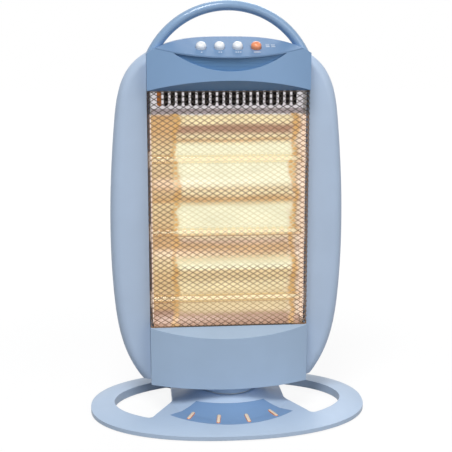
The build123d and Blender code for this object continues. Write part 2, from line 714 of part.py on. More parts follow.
def lower_cover():
    outer = slab(column_plan(0.0, 0.0, SPLIT_Y), BODY_BOTTOM_Z, COVER_TOP_Z)
    outer -= under_slope(COVER_TOP_Z, COVER_EDGE_Z, 0.0, COL_SIDE_Y)
    inner = slab(column_plan(WALL, WALL, SPLIT_Y + 1), FLOOR_Z, COVER_TOP_Z + 5)
    inner -= under_slope(COVER_TOP_Z, COVER_EDGE_Z, WALL, COL_SIDE_Y + WALL)
    cover = outer - inner
    cover -= rod(NECK_R + SLIDING, BODY_BOTTOM_Z - 1, FLOOR_Z + SEAM)
    return cover


# Body floor, guard, reflector and the heating elements

def body_floor():
    plan = column_plan(WALL + SEAM, WALL + SEAM, SPLIT_Y)
    rear = block(-FLOOR_REAR_HALF, FLOOR_REAR_HALF, 0, FLOOR_BACK_Y, FLOOR_Z, FLOOR_TOP_Z)
    floor = slab(plan, FLOOR_Z, FLOOR_TOP_Z) + rear
    floor += rod(NECK_R, NECK_BOTTOM_Z, FLOOR_Z) + rod(BOSS_R, FLOOR_Z, BOSS_TOP_Z)
    floor -= rod(POST_R + RUNNING, NECK_BOTTOM_Z, BOSS_TOP_Z)
    for side in (-1, 1):
        floor += rod(MOTOR_POST_R, FLOOR_Z, MOTOR_Z, MOTOR_X, side * MOTOR_EAR_Y)
        floor -= rod(SCREW_R, FLOOR_TOP_Z, MOTOR_Z, MOTOR_X, side * MOTOR_EAR_Y)
    return floor


def motor_screws():
    top = MOTOR_Z + SHEET + SCREW_HEAD_H
    screws = [Pos(MOTOR_X, side * MOTOR_EAR_Y, top) * Rot(180, 0, 0) * screw(MOTOR_SCREW_L) for side in (-1, 1)]
    return Compound(children=screws)


def diamonds(width, height, cols, rows):
    """Diamond holes of an expanded mesh, whole and half ones, inside a bordered rectangle."""
    pitch_x = width / cols
    pitch_z = height / rows
    half_x = pitch_x / 2 - GUARD_STRAND * 0.9
    half_z = pitch_z / 2 - GUARD_STRAND * 0.6
    hole = make_face(Polyline((-half_x, 0), (0, half_z), (half_x, 0), (0, -half_z), close=True))
    places = [(-width / 2 + (i + 0.5) * pitch_x, -height / 2 + (j + 0.5) * pitch_z)
              for i in range(cols) for j in range(rows)]
    places += [(-width / 2 + i * pitch_x, -height / 2 + j * pitch_z)
               for i in range(cols + 1) for j in range(rows + 1)]
    return [Pos(x, z) * hole for x, z in places]


def guard_panel(width, height, cols):
    sheet = Rectangle(width, height)
    window = Rectangle(width - 2 * GUARD_BORDER, height - 2 * GUARD_BORDER)
    holes = [hole & window for hole in diamonds(width - GUARD_BORDER, height - GUARD_BORDER, cols, GUARD_ROWS)]
    return sheet - holes


def guard():
    height = HOOD_BOTTOM_Z - COVER_TOP_Z - 2 * SEAM
    mid_z = (HOOD_BOTTOM_Z + COVER_TOP_Z) / 2
    front = front_view(guard_panel(2 * COL_HALF_W, height, GUARD_COLS), COL_SIDE_Y, COL_SIDE_Y + GUARD_T)
    mesh = Pos(0, 0, mid_z) * front
    depth = GUARD_RETURN
    for side in (-1, 1):
        plane = Plane(origin=(side * (COL_HALF_W - GUARD_T / 2), COL_SIDE_Y + depth / 2, mid_z),
                      x_dir=(0, 1, 0), z_dir=(1, 0, 0))
        mesh += extrude(plane * guard_panel(depth, height, 1), GUARD_T / 2, both=True)
    return mesh


def end_plate(side):
    x0, x1 = sorted((side * PLATE_X, side * PLATE_OUT_X))
    plate = block(x0, x1, PLATE_FRONT_Y, PLATE_BACK_Y, FLOOR_TOP_Z, PLATE_TOP_Z)
    for z in TUBE_Z:
        plate -= rod_x(TUBE_R + SLIDING, x0, x1, TUBE_Y, z)
    return plate


def reflector_profile(shift):
    path = []
    for low, high in zip(RIDGES_Z[:-1], RIDGES_Z[1:]):
        mid = (shift + TROUGH_DEPTH, (low + high) / 2)
        path.append(ThreePointArc((shift, low), mid, (shift, high)))
    path.append(Line((shift, RIDGES_Z[-1]), (shift + LIP_Y, LIP_TOP_Z)))
    path.append(Line((shift + LIP_Y, LIP_TOP_Z), (shift + LIP_Y, STRIP_TOP_Z)))
    return path


def reflector():
    front = reflector_profile(0.0)
    back = reflector_profile(REFLECTOR_T)
    ends = [Line((0, RIDGES_Z[0]), (REFLECTOR_T, RIDGES_Z[0])),
            Line((LIP_Y, STRIP_TOP_Z), (LIP_Y + REFLECTOR_T, STRIP_TOP_Z))]
    face = make_face(Curve() + front + back + ends)
    plane = Plane(origin=(-PLATE_X, 0, 0), x_dir=(0, 1, 0), z_dir=(1, 0, 0))
    sheet = extrude(plane * face, 2 * PLATE_X)
    slot = SlotOverall(SLOT_HIGH_Z - SLOT_LOW_Z, SLOT_W, rotation=90)
    mid_z = (SLOT_HIGH_Z + SLOT_LOW_Z) / 2
    places = [(index - (SLOT_COUNT - 1) / 2) * SLOT_PITCH for index in range(SLOT_COUNT)]
    return sheet - [front_view(Pos(x, mid_z) * slot, LIP_Y - 1, LIP_Y + 2 * REFLECTOR_T) for x in places]


def heat_shield():
    return block(-PLATE_X, PLATE_X, SHIELD_Y, SHIELD_Y + SHEET, RIDGES_Z[0], STRIP_TOP_Z)


def quartz_tube(z):
    return rod_x(TUBE_R, -TUBE_HALF_L, TUBE_HALF_L, TUBE_Y, z) - rod_x(TUBE_BORE_R, -TUBE_HALF_L,
                                                                     TUBE_HALF_L, TUBE_Y, z)


def filament(z):
    """A flat carbon ribbon with a wire lead at each end."""
    ribbon = block(GLOW_FROM, GLOW_TO, TUBE_Y - FILAMENT_T / 2, TUBE_Y + FILAMENT_T / 2,
                   z - FILAMENT_W / 2, z + FILAMENT_W / 2)
    ends = rod_x(LEAD_R, -TUBE_HALF_L, GLOW_FROM, TUBE_Y, z) + rod_x(LEAD_R, GLOW_TO, TUBE_HALF_L, TUBE_Y, z)
    return ribbon + ends


def ceramic_caps():
    caps = []
    for side in (-1, 1):
        for z in TUBE_Z:
            x0, x1 = sorted((side * CAP_X, side * (CAP_X + CAP_L)))
            cap = block(x0, x1, TUBE_Y - CAP_HALF, TUBE_Y + CAP_HALF, z - CAP_HALF, z + CAP_HALF)
            cap = fillet(cap.edges().filter_by(Axis.X), 2.0)
            b0, b1 = sorted((side * CAP_X, side * TUBE_HALF_L))
            caps.append(cap - rod_x(TUBE_R + SEAM / 2, b0, b1, TUBE_Y, z))
    return Compound(children=caps)


def lead_wires():
    """One insulated bus wire on each side, down the caps and back to the terminal block."""
    wires = []
    wire_x = CAP_X + CAP_L + WIRE_R
    back_y = PLATE_BACK_Y + 4 * WIRE_R
    for side in (-1, 1):
        points = [(side * wire_x, TUBE_Y, TUBE_Z[-1] + CAP_HALF), (side * wire_x, TUBE_Y, WIRE_TURN_Z),
                  (side * wire_x, back_y, WIRE_TURN_Z), (side * TERMINAL_HALF_L, back_y, WIRE_TURN_Z)]
        path = FilletPolyline(*points, radius=WIRE_BEND_R)
        section = Plane(origin=path @ 0, z_dir=path % 0) * Circle(WIRE_R)
        wires.append(sweep(section, path=path))
    return Compound(children=wires)


def terminal_block():
    """Stands on the body floor behind the drive and takes both bus wires at its ends."""
    back_y = PLATE_BACK_Y + 4 * WIRE_R
    half_d, half_h = TERMINAL_HALF
    half_t = TERMINAL_STAND_T / 2
    body = block(-TERMINAL_HALF_L, TERMINAL_HALF_L, back_y - half_d, back_y + half_d,
                 WIRE_TURN_Z - half_h, WIRE_TURN_Z + half_h)
    stand = block(-TERMINAL_HALF_L, TERMINAL_HALF_L, back_y - half_t, back_y + half_t, FLOOR_TOP_Z, WIRE_TURN_Z)
    return body + stand


def thermal_cutout():
    y0 = SHIELD_Y + SHEET
    half_l, half_h = CUTOUT_EAR
    disc = rod_y(CUTOUT_R, y0, y0 + CUTOUT_H, 0, TUBE_Z[-1])
    return disc + block(-half_l, half_l, y0, y0 + SHEET, TUBE_Z[-1] - half_h, TUBE_Z[-1] + half_h)


# Tip-over switch: a pendulum in an open case on the body floor

def tip_pin_z():
    return FLOOR_TOP_Z + TIP_H - TIP_PIN_DROP


def tip_switch_case():
    outer = block(TIP_X - TIP_W / 2, TIP_X + TIP_W / 2, TIP_Y - TIP_D / 2, TIP_Y + TIP_D / 2,
                  FLOOR_TOP_Z, FLOOR_TOP_Z + TIP_H)
    inner = block(TIP_X - TIP_W / 2 + TIP_CHEEK, TIP_X + TIP_W / 2 - TIP_CHEEK, TIP_Y - TIP_D / 2 + TIP_CHEEK,
                  TIP_Y + TIP_D / 2 - TIP_CHEEK, FLOOR_TOP_Z + TIP_CHEEK, FLOOR_TOP_Z + TIP_H)
    pin = rod_x(TIP_PIN_R, TIP_X - TIP_W / 2, TIP_X + TIP_W / 2, TIP_Y, tip_pin_z())
    return outer - inner + pin


def tip_pendulum():
    z = tip_pin_z()
    x0, x1 = TIP_X - TIP_ARM_HALF_W, TIP_X + TIP_ARM_HALF_W
    arm = block(x0, x1, TIP_Y - SHEET, TIP_Y + SHEET, z - TIP_ARM_L, z)
    eye = rod_x(TIP_EYE_R, x0, x1, TIP_Y, z)
    bob = rod_x(TIP_BOB_R, TIP_X - TIP_BOB_HALF_W, TIP_X + TIP_BOB_HALF_W, TIP_Y, z - TIP_ARM_L)
    return arm + eye + bob - rod_x(TIP_PIN_R + RUNNING, x0, x1, TIP_Y, z)


def build():
    parts = {
        "base_ring": base_ring(),
        "base_inlay": base_inlay(),
        "position_marks": position_marks(),
        "base_plate": base_plate(),
        "rubber_feet": rubber_feet(),
        "base_screws": base_screws(),
        "pivot_post": pivot_post(),
        "slip_ring": slip_ring(),
        "sector_gear": sector_gear(),
        "retaining_collar": retaining_collar(),
        "drive_pinion": drive_pinion(),
        "swing_motor": swing_motor(),
        "motor_screws": motor_screws(),
        "body_floor": body_floor(),
        "rear_shell": rear_shell(),
        "case_screws": case_screws(),
        "cord_gland": cord_gland(),
        "hood": hood(),
        "panel_print": panel_print(),
        "switch_bank": switch_bank(),
        "switch_screws": switch_screws(),
        "handle": handle(),
        "lower_cover": lower_cover(),
        "guard": guard(),
        "reflector": reflector(),
        "heat_shield": heat_shield(),
        "end_plate_left": end_plate(-1),
        "end_plate_right": end_plate(1),
        "ceramic_caps": ceramic_caps(),
        "lead_wires": lead_wires(),
        "terminal_block": terminal_block(),
        "thermal_cutout": thermal_cutout(),
        "tip_switch_case": tip_switch_case(),
        "tip_pendulum": tip_pendulum(),
    }
    right = side_panel()
    parts["side_panel_right"] = right
    parts["side_panel_left"] = mirror(right, about=Plane.YZ)
    for name, z in zip(TUBE_NAMES, TUBE_Z):
        parts[f"quartz_tube_{name}"] = quartz_tube(z)
        parts[f"filament_{name}"] = filament(z)
    for name, x in zip(BUTTON_NAMES, BUTTON_X):
        parts[f"button_{name}"] = button(x)
    for name, shape in parts.items():
        save(shape, name)


build()
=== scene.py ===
import bpy
import json
import math
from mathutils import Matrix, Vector


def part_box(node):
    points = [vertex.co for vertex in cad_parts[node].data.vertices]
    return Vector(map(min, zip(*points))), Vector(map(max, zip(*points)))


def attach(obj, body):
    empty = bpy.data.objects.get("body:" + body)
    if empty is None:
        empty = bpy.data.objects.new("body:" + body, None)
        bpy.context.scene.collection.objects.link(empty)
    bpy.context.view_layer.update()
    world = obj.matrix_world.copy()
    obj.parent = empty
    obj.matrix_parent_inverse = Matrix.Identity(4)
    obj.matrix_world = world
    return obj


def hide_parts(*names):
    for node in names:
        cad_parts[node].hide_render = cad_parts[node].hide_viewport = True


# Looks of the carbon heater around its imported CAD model. Metres, front towards -Y, Z up.

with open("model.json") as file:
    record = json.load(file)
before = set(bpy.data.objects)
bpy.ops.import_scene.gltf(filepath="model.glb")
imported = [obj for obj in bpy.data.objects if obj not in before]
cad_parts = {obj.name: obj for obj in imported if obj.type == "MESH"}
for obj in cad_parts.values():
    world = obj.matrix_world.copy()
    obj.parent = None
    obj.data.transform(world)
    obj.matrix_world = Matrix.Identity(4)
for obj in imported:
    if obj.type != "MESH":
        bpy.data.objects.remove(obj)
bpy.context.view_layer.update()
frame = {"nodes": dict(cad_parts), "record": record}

# Camera, as fitted to the base, the guard and the lower cover
CAMERA_AT = (-0.1111, -1.198, 0.484)
CAMERA_TARGET = (-0.00205, 0.0, 0.2370)
CAMERA_LENS = 78.47
CAMERA_SENSOR = 36.0

# Light
AMBIENT = 0.21
SKY = (0.97, 0.98, 1.0, 1.0)
WHITE = (1.0, 1.0, 1.0, 1.0)
KEY = {"at": (-0.5, -1.6, 2.6), "size": 1.3, "watts": 56.0}
FILL = {"at": (1.2, -1.9, 1.2), "size": 1.6, "watts": 15.0}
RIM = {"at": (0.5, 1.8, 1.8), "size": 1.4, "watts": 12.0}
LIGHT_TARGET = (0.0, 0.0, 0.25)

# Floor: tinted where it shows, dark where it would throw light up, and glowing white away from the base
FLOOR_HALF = 6.0
FLOOR_TINT = (0.90, 0.90, 0.91, 1.0)
FLOOR_BOUNCE = (0.20, 0.20, 0.21, 1.0)
FLOOR_GLOW_SHARE = 0.87
FLOOR_GLOW = 1.03
FLOOR_NEAR = 0.35
FLOOR_FAR = 0.90

# Hood: the cylinder of its front, the plane of the control panel, the ribbed recess under the panel's lip
BULGE_AXIS_Y = 0.1566
BULGE_R = 0.2046
PANEL_NORMAL = (0.0, -0.4478, 0.8942)
PANEL_ORIGIN = (0.0, -0.048, 0.4466)
PANEL_REACH = -0.0012
SCOOP_LOW_Z = 0.4285
SCOOP_HALF_W = 0.0710
SCOOP_DEPTH = (0.0005, 0.0085)
RIB_PITCH = 0.0016
RIB_RELIEF = 1.5
UNDER_SLOPE = -0.25
HOOD_COLOUR = (136, 169, 207)
PANEL_COLOUR = (110, 142, 180)
# Painted shade on the hood's downward faces
UNDER_SHADE = (92, 142, 196)
# Painted shade in the recess under the panel's lip
SCOOP_SHADE = (104, 146, 188)

# Guard: expanded metal, bent back at both sides
GUARD_FRONT_Y = -0.0225
GUARD_SIDE_X = 0.0975
GUARD_DEPTH = 0.0185
GUARD_BEND_R = 0.003
GUARD_LOW_Z = 0.1143
GUARD_HIGH_Z = 0.4057
GUARD_COLS = 23
GUARD_ROWS = 46
GUARD_FLAT = GUARD_DEPTH - GUARD_BEND_R
GUARD_BEND = GUARD_BEND_R * math.pi / 2
GUARD_LENGTH = 2 * GUARD_FLAT + 2 * GUARD_BEND + 2 * (GUARD_SIDE_X - GUARD_BEND_R)
STRAND_W = 0.0008
STRAND_T = 0.0005
STRAND_TWIST = 0.6
STRAND_OVERLAP = 0.0004
HEM_H = 0.0013
HEM_T = 0.0008
HEM_STEPS = 4 * GUARD_COLS

# Reflector sheet, its row of slots and the glowing length of the tubes
SHEET_LOW_Z = 0.100
SHEET_HIGH_Z = 0.422
GLOW_LEFT_X = -0.0615
GLOW_RIGHT_X = 0.0835
GLOW_SOFT = 0.007
GLOW_WAVER = 0.0012
END_WAVER = 0.004
GLOW_FRAME_W = 0.008
GLOW_FRAME_SHARE = 0.9
GLOW_FRAME_COLOUR = (208, 160, 88)
STRIP_Z = (0.3765, 0.3825)
SLOT_ROW_Z = 0.378
SLOT_ROW_HALF_W = 0.090
FIRST_SLOT_X = -0.077
# Painted glow: the sheet behind the first slot glows orange
FIRST_SLOT_GLOW = (150, 90, 42)
# Painted shade on the sheet behind the slots
SLOT_SHADE = (30, 27, 27)
# Painted glow on the end plates beside the tubes
PLATE_IN_X = 0.0932
PLATE_GLOW_Z = (0.118, 0.376)
PLATE_GLOW_COLOUR = (204, 178, 160)
GUARD_GLOW_X = (-0.066, 0.078)
GUARD_GLOW_SOFT = 0.004
RIBBON_FADE = (0.001, 0.004)
MM_PER_M = 1000

# Colours of the light on the reflector and the guard
BANDS = {
    "bars": (206, 202, 206),
    "cream": (242, 239, 206),
    "pale": (238, 222, 178),
    "straw": (224, 202, 156),
    "honey": (214, 184, 136),
    "ochre": (204, 163, 110),
    "mauve": (206, 174, 146),
    "brown": (172, 132, 108),
    "beige": (226, 205, 180),
    "sand": (184, 154, 130),
    "dusk": (146, 134, 136),
    "none": (0, 0, 0),
    "dim": (112, 82, 56),
    "warm": (170, 144, 104),
    "bright": (214, 206, 168),
}

# Where each colour stands, as heights in millimetres: the troughs, the reflector's two ends, the guard
TROUGH_BANDS = [
    (100, "brown"), (117, "brown"), (123, "straw"), (143, "straw"), (150, "pale"), (157, "pale"),
    (165, "straw"), (177, "straw"), (183, "cream"), (187, "cream"), (194, "straw"), (201, "ochre"),
    (207, "ochre"), (213, "mauve"), (221, "pale"), (229, "cream"), (259, "cream"), (264, "straw"),
    (267, "ochre"), (271, "ochre"), (278, "pale"), (283, "straw"), (290, "cream"), (335, "cream"),
    (339, "pale"), (342, "ochre"), (347, "pale"), (354, "brown"), (361, "brown"), (364.5, "pale"),
    (374, "pale"), (376.5, "bars"),
]
LEFT_END_BANDS = [
    (100, "brown"), (121, "brown"), (125, "ochre"), (136, "honey"), (170, "honey"), (184, "straw"),
    (192, "straw"), (206, "ochre"), (216, "ochre"), (236, "honey"), (262, "straw"), (268, "ochre"),
    (276, "honey"), (284, "ochre"), (300, "honey"), (325, "straw"), (338, "honey"), (352, "ochre"),
    (374, "ochre"), (376.5, "bars"),
]
RIGHT_END_BANDS = [
    (100, "brown"), (114, "brown"), (120, "beige"), (159, "beige"), (165, "sand"), (171, "beige"),
    (198, "beige"), (204, "sand"), (210, "beige"), (263, "beige"), (269, "sand"), (275, "beige"),
    (355, "beige"), (361, "brown"), (365, "beige"), (374, "beige"), (376.5, "bars"),
]
GUARD_BANDS = [
    (114, "none"), (121, "dim"), (134, "warm"), (162, "warm"), (176, "dim"), (189, "dim"),
    (194, "bright"), (200, "bright"), (206, "dim"), (228, "dim"), (238, "bright"), (267, "bright"),
    (275, "dim"), (286, "dim"), (297, "bright"), (340, "bright"), (348, "dim"), (368, "dim"),
    (373, "warm"), (380, "warm"), (386, "none"),
]

# Marks on the base, MARK_STEP degrees apart on an arc round INLAY_Y; each turns by MARK_LEAN of its angle
INLAY_Y = 0.014
MARK_COUNT = 4
MARK_STEP = 22.6
MARK_R = 0.091
MARK_LEAN = 0.72
MARK_HALF_L = 0.0097
MARK_HALF_W = 0.0025
MARK_ARC_STEPS = 8

# Rings of a mark from its outline inwards, each an inset and a rise over the inlay
MARK_RINGS = [(0.0, -0.0006), (0.0001, 0.0003), (0.0006, 0.0008), (0.0012, 0.0010), (0.0017, 0.0011)]
MARK_RIM_RINGS = 2
OVER_BASE_Z = 0.1

# Fine surface: noise scales per metre
PLASTIC_CLOUD = 14.0
PLASTIC_GRAIN = 1500.0
PLASTIC_GLOSS = 70.0
BUTTON_CLOUD = 90.0
BUTTON_GRAIN = 220.0
BUTTON_GLOSS = 130.0
STEEL_CLOUD = 25.0
STEEL_GRAIN = 420.0
REFLECTOR_LINES = 500.0
REFLECTOR_PATCHES = 38.0
TROUGH_WAVES = 60.0
END_WAVES = 45.0
QUARTZ_LINES = 300.0
QUARTZ_GLOSS = 90.0
RIBBON_WEAVE = 900.0
CERAMIC_SPECKS = 700.0
CERAMIC_GRAIN = 900.0
CERAMIC_GLOSS = 120.0
RUBBER_CLOUD = 60.0
RUBBER_GRAIN = 800.0
RUBBER_GLOSS = 160.0
BRAID_SCALE = 5200.0
FLOOR_CLOUD = 40.0

# How far a finish strays from its colour, its roughness or its full light
PLASTIC_TINTS = (0.96, 1.03)
PLASTIC_UNEVEN = (-0.05, 0.07)
BUTTON_TINTS = (0.97, 1.0)
BUTTON_UNEVEN = (-0.04, 0.06)
PLATED_TINTS = (0.90, 1.06)
FLOOR_TINTS = (1.0, 1.02)
PATCH_LIGHT = (0.93, 1.09)
WEAVE_HEAT = (0.84, 0.98)
LEAD_HEAT = 0.72

# Relief depths and the radii that round the look of edges
FINE_RELIEF = 0.0002
DEEP_RELIEF = 0.0003
PLASTIC_EDGE = 0.0007
CERAMIC_EDGE = 0.0006
RUBBER_EDGE = 0.0004
BUTTON_EDGE = 0.0004
SHEET_EDGE = 0.0003
WIRE_EDGE = 0.0002
EDGE_SAMPLES = 4

# Sockets of a colour mix node: its two colours and its result
MIX_FIRST = 6
MIX_SECOND = 7
MIX_RESULT = 2


def srgb(red, green, blue):
    """A screen colour, 0 to 255, as the linear colour that a shader takes."""
    def linear(value):
        share = value / 255
        return share / 12.92 if share <= 0.04045 else ((share + 0.055) / 1.055) ** 2.4
    return (linear(red), linear(green), linear(blue), 1.0)


def tints(colour, factors):
    """A colour made lighter or darker by each of the factors."""
    return [tuple(min(1.0, channel * factor) for channel in colour[:3]) + (1.0,) for factor in factors]


class Finish:
    """A material with short calls for the nodes that the finishes share."""

    def __init__(self, name):
        self.material = bpy.data.materials.new(name)
        self.material.use_nodes = True
        self.tree = self.material.node_tree
        self.shader = self.tree.nodes["Principled BSDF"]
        self.place = self.node("ShaderNodeTexCoord").outputs["Object"]

    def node(self, kind, **settings):
        made = self.tree.nodes.new(kind)
        for key, value in settings.items():
            setattr(made, key, value)
        return made

    def link(self, source, target):
        self.tree.links.new(source, target)

    def put(self, value, socket):
        """Gives a socket its value: another socket is linked, a constant set."""
        if isinstance(value, bpy.types.NodeSocket):
            self.link(value, socket)
        else:
            socket.default_value = value

    def feed(self, node, *values):
        """Gives a node its inputs in order and returns its first output."""
        for socket, value in zip(node.inputs, values):
            self.put(value, socket)
        return node.outputs[0]

    def math(self, operation, *values):
        return self.feed(self.node("ShaderNodeMath", operation=operation), *values)

    def product(self, first, *others):
        for other in others:
            first = self.math("MULTIPLY", first, other)
        return first

    def length(self, first, second):
        """Length of a vector in a plane."""
        squares = [self.product(part, part) for part in (first, second)]
        return self.math("SQRT", self.math("ADD", *squares))

    def within(self, value, low, high):
        """1 between low and high."""
        return self.product(self.math("GREATER_THAN", value, low), self.math("LESS_THAN", value, high))

    def spread(self, value, low, high, start=0.3, end=0.7):
        """Maps a value from start..end to low..high."""
        return self.feed(self.node("ShaderNodeMapRange"), value, start, end, low, high)

    def window(self, value, rise, fall, top=1.0):
        """Rises to top over one stretch and falls back to 0 over the other."""
        return self.product(self.spread(value, 0.0, top, *rise), self.spread(value, 1.0, 0.0, *fall))

    def axis(self, letter):
        split = self.node("ShaderNodeSeparateXYZ")
        self.link(self.place, split.inputs[0])
        return split.outputs[letter]

    def slope(self):
        """The upward part of the face's direction."""
        split = self.node("ShaderNodeSeparateXYZ")
        self.link(self.node("ShaderNodeNewGeometry").outputs["True Normal"], split.inputs[0])
        return split.outputs["Z"]

    def noise(self, scale, detail=3.0, stretch=(1.0, 1.0, 1.0)):
        mapping = self.node("ShaderNodeMapping")
        self.link(self.place, mapping.inputs["Vector"])
        mapping.inputs["Scale"].default_value = stretch
        cloud = self.node("ShaderNodeTexNoise")
        self.link(mapping.outputs[0], cloud.inputs["Vector"])
        cloud.inputs["Scale"].default_value = scale
        cloud.inputs["Detail"].default_value = detail
        return cloud.outputs["Fac"]

    def blend(self, share, first, second):
        mix = self.node("ShaderNodeMix", data_type="RGBA")
        for place, value in ((0, share), (MIX_FIRST, first), (MIX_SECOND, second)):
            self.put(value, mix.inputs[place])
        return mix.outputs[MIX_RESULT]

    def cloudy(self, scale, first, second, detail=3.0):
        """A tint that drifts between two colours."""
        return self.blend(self.spread(self.noise(scale, detail), 0.0, 1.0), first, second)

    def ramp(self, value, stops):
        """A colour ramp; stops are (position, colour)."""
        node = self.node("ShaderNodeValToRGB")
        self.link(value, node.inputs[0])
        bar = node.color_ramp
        bar.elements[0].position, bar.elements[0].color = stops[0]
        bar.elements[1].position, bar.elements[1].color = stops[-1]
        for position, colour in stops[1:-1]:
            bar.elements.new(position).color = colour
        return node.outputs[0]

    def gloss(self, scale, low, high):
        """A roughness that wanders between two values."""
        return self.spread(self.noise(scale), low, high)

    def bump(self, height, strength, distance=FINE_RELIEF, edge=0.0):
        """Fine relief; edge rounds the look of sharp edges by that radius."""
        node = self.node("ShaderNodeBump")
        node.inputs["Strength"].default_value = strength
        node.inputs["Distance"].default_value = distance
        self.link(height, node.inputs["Height"])
        if edge:
            bevel = self.node("ShaderNodeBevel", samples=EDGE_SAMPLES)
            bevel.inputs["Radius"].default_value = edge
            self.link(bevel.outputs[0], node.inputs["Normal"])
        self.link(node.outputs[0], self.shader.inputs["Normal"])

    def set(self, **values):
        """Gives the shader's inputs their values and returns the material."""
        for key, value in values.items():
            self.put(value, self.shader.inputs[key.replace("_", " ")])
        return self.material


# Plastics

def plastic_finish(name, colour, roughness):
    """Moulded plastic without its grain: a cloudy tint and a slightly uneven gloss."""
    look = Finish(name)
    rough = look.gloss(PLASTIC_GLOSS, *(roughness + step for step in PLASTIC_UNEVEN))
    look.set(Roughness=rough, Specular_IOR_Level=0.35)
    return look, look.cloudy(PLASTIC_CLOUD, *tints(colour, PLASTIC_TINTS))


def plastic(name, colour, roughness, coat=0.0):
    """Moulded plastic with a spark-eroded grain."""
    look, tint = plastic_finish(name, colour, roughness)
    look.bump(look.noise(PLASTIC_GRAIN, detail=2.0), strength=0.12, edge=PLASTIC_EDGE)
    return look.set(Base_Color=tint, Coat_Weight=coat)


def height_over_panel(look):
    """Distance of a point from the plane of the control panel, above it positive."""
    parts = []
    for letter, origin, normal in zip("YZ", PANEL_ORIGIN[1:], PANEL_NORMAL[1:]):
        parts.append(look.product(look.math("SUBTRACT", look.axis(letter), origin), normal))
    return look.math("ADD", *parts)


def inside_scoop(look, over_panel):
    """1 in the crescent recess under the control panel's lip."""
    x = look.axis("X")
    from_axis = look.length(x, look.math("SUBTRACT", BULGE_AXIS_Y, look.axis("Y")))
    depth = look.math("SUBTRACT", BULGE_R, from_axis)
    return look.product(look.within(depth, *SCOOP_DEPTH),
                        look.math("LESS_THAN", over_panel, PANEL_REACH),
                        look.math("GREATER_THAN", look.axis("Z"), SCOOP_LOW_Z),
                        look.math("LESS_THAN", look.math("ABSOLUTE", x), SCOOP_HALF_W))


def hood_plastic():
    """The hood's plastic: deeper on the panel, with painted shade on its downward faces, and ribbed with
    painted shade in the recess.
    """
    look, tint = plastic_finish("hood_plastic", srgb(*HOOD_COLOUR), roughness=0.40)
    over_panel = height_over_panel(look)
    scoop = inside_scoop(look, over_panel)
    wave = look.math("SINE", look.product(look.axis("Z"), 2 * math.pi / RIB_PITCH))
    rib = look.product(wave, scoop, RIB_RELIEF)
    grain = look.noise(PLASTIC_GRAIN, detail=2.0)
    look.bump(look.math("ADD", rib, grain), strength=0.35, distance=DEEP_RELIEF, edge=PLASTIC_EDGE)
    tint = look.blend(look.math("GREATER_THAN", over_panel, PANEL_REACH), tint, srgb(*PANEL_COLOUR))
    # Painted shade: faces turned downward take a darker tint
    tint = look.blend(look.math("LESS_THAN", look.slope(), UNDER_SLOPE), tint, srgb(*UNDER_SHADE))
    # Painted shade: the recess takes a darker tint
    return look.set(Base_Color=look.blend(scoop, tint, srgb(*SCOOP_SHADE)))


def glossy(name, colour, roughness=0.16):
    """Polished plastic of the buttons, the marks and the print."""
    look = Finish(name)
    look.bump(look.noise(BUTTON_GRAIN, detail=2.0), strength=0.03, edge=BUTTON_EDGE)
    tint = look.cloudy(BUTTON_CLOUD, *tints(colour, BUTTON_TINTS))
    rough = look.gloss(BUTTON_GLOSS, *(roughness + step for step in BUTTON_UNEVEN))
    return look.set(Base_Color=tint, Roughness=rough, Coat_Weight=0.6, Coat_Roughness=0.06)


# Metals

def steel_finish(name, dark, light, roughness, stretch=(1.0, 1.0, 1.0), edge=SHEET_EDGE):
    """Steel with a cloudy tint and fine lines; stretch gives the direction of the lines."""
    look = Finish(name)
    lines = look.noise(STEEL_GRAIN, detail=4.0, stretch=stretch)
    look.bump(lines, strength=0.12, edge=edge)
    look.set(Metallic=1.0, Roughness=look.spread(lines, *roughness))
    return look, look.cloudy(STEEL_CLOUD, dark, light)


def plated_steel():
    """Zinc-plated screws, post and collar."""
    dark, light = tints(srgb(196, 198, 200), PLATED_TINTS)
    look, tint = steel_finish("plated_steel", dark, light, roughness=(0.24, 0.38))
    return look.set(Base_Color=tint)


def sheet_steel():
    """Plain sheet with painted shade behind the slots, a painted glow behind the first one, and a painted
    glow beside the tubes.
    """
    look, plain = steel_finish("sheet_steel", srgb(160, 160, 160), srgb(172, 172, 172),
                               roughness=(0.32, 0.46), stretch=(0.05, 1.0, 1.0))
    x, z = look.axis("X"), look.axis("Z")
    from_middle = look.math("ABSOLUTE", x)
    behind = look.product(look.math("GREATER_THAN", z, SLOT_ROW_Z),
                          look.math("LESS_THAN", from_middle, SLOT_ROW_HALF_W))
    first = look.product(behind, look.math("LESS_THAN", x, FIRST_SLOT_X))
    beside = look.product(look.math("GREATER_THAN", from_middle, PLATE_IN_X),
                          look.within(z, *PLATE_GLOW_Z))
    # Painted shade behind the slots; painted glow behind the first slot and beside the tubes
    return look.set(Base_Color=look.blend(behind, plain, srgb(*SLOT_SHADE)),
                    Emission_Color=look.blend(first, srgb(*PLATE_GLOW_COLOUR), srgb(*FIRST_SLOT_GLOW)),
                    Emission_Strength=look.math("MAXIMUM", first, beside))


def sheet_ramp(look, height, bands):
    """The colours of a band list over the height of the reflector sheet."""
    span = SHEET_HIGH_Z - SHEET_LOW_Z
    share = look.math("DIVIDE", look.math("SUBTRACT", height, SHEET_LOW_Z), span)
    stops = [((at / MM_PER_M - SHEET_LOW_Z) / span, srgb(*BANDS[name])) for at, name in bands]
    return look.ramp(share, stops)


